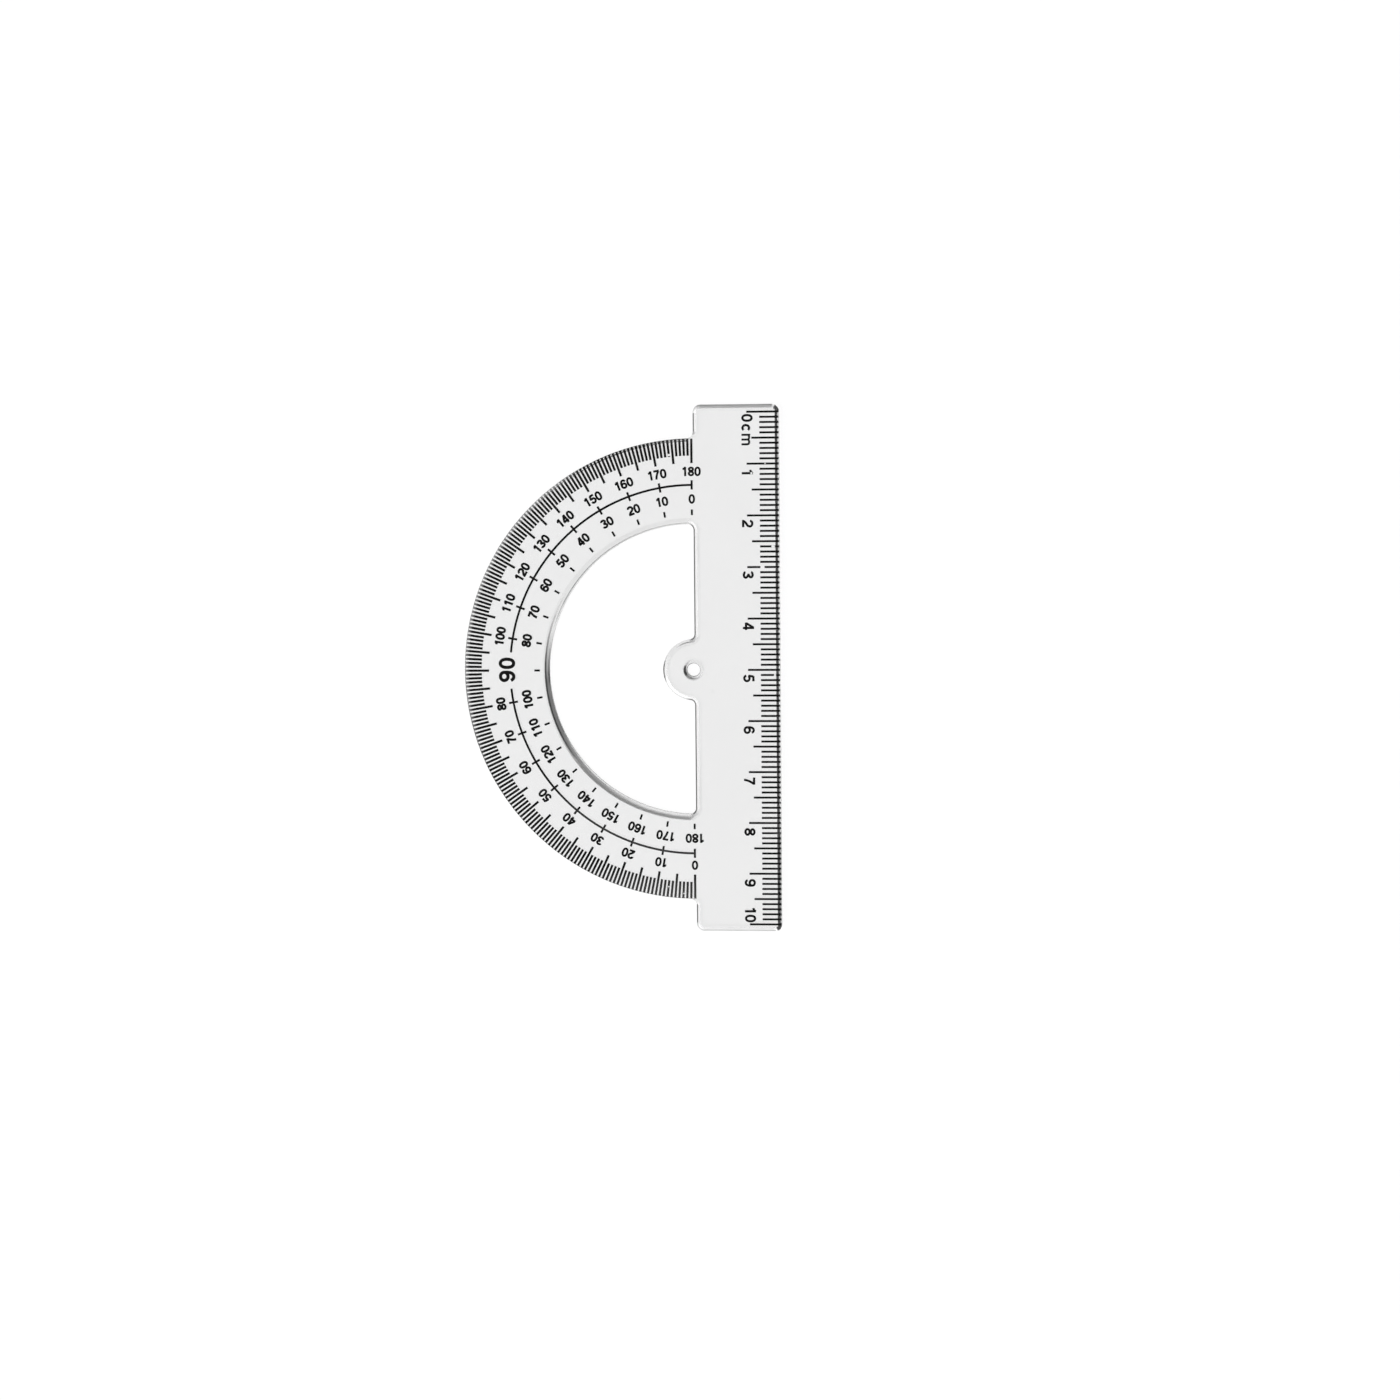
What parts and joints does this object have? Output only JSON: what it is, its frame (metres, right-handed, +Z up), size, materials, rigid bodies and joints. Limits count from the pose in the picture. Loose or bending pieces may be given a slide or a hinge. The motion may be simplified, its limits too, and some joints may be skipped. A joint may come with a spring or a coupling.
{
  "type": "protractor",
  "caption": "Flat clear semicircular protractor with a D-shaped window, a countersunk vertex hole, printed degree scales read both ways and a centimetre ruler along its base.",
  "frame": {"origin": "the protractor's vertex: the axis of the vertex hole, at the underside that lies on the paper", "axes": "+X along the ruler towards its zero, +Y towards the 90 degree mark, +Z up out of the printed face"},
  "size_m": [0.103, 0.062, 0.002],
  "materials": {
    "clear_plastic": "clear, polished by the mould",
    "print_ink": "opaque black screen print"
  },
  "bodies": {
    "root": {"moulded_plate": "clear_plastic", "one_degree_ticks": "print_ink", "five_degree_ticks": "print_ink", "ten_degree_ticks": "print_ink", "dividing_arc": "print_ink", "inner_dashes": "print_ink", "millimetre_ticks": "print_ink", "half_centimetre_ticks": "print_ink", "centimetre_ticks": "print_ink"}
  },
  "joints": []
}
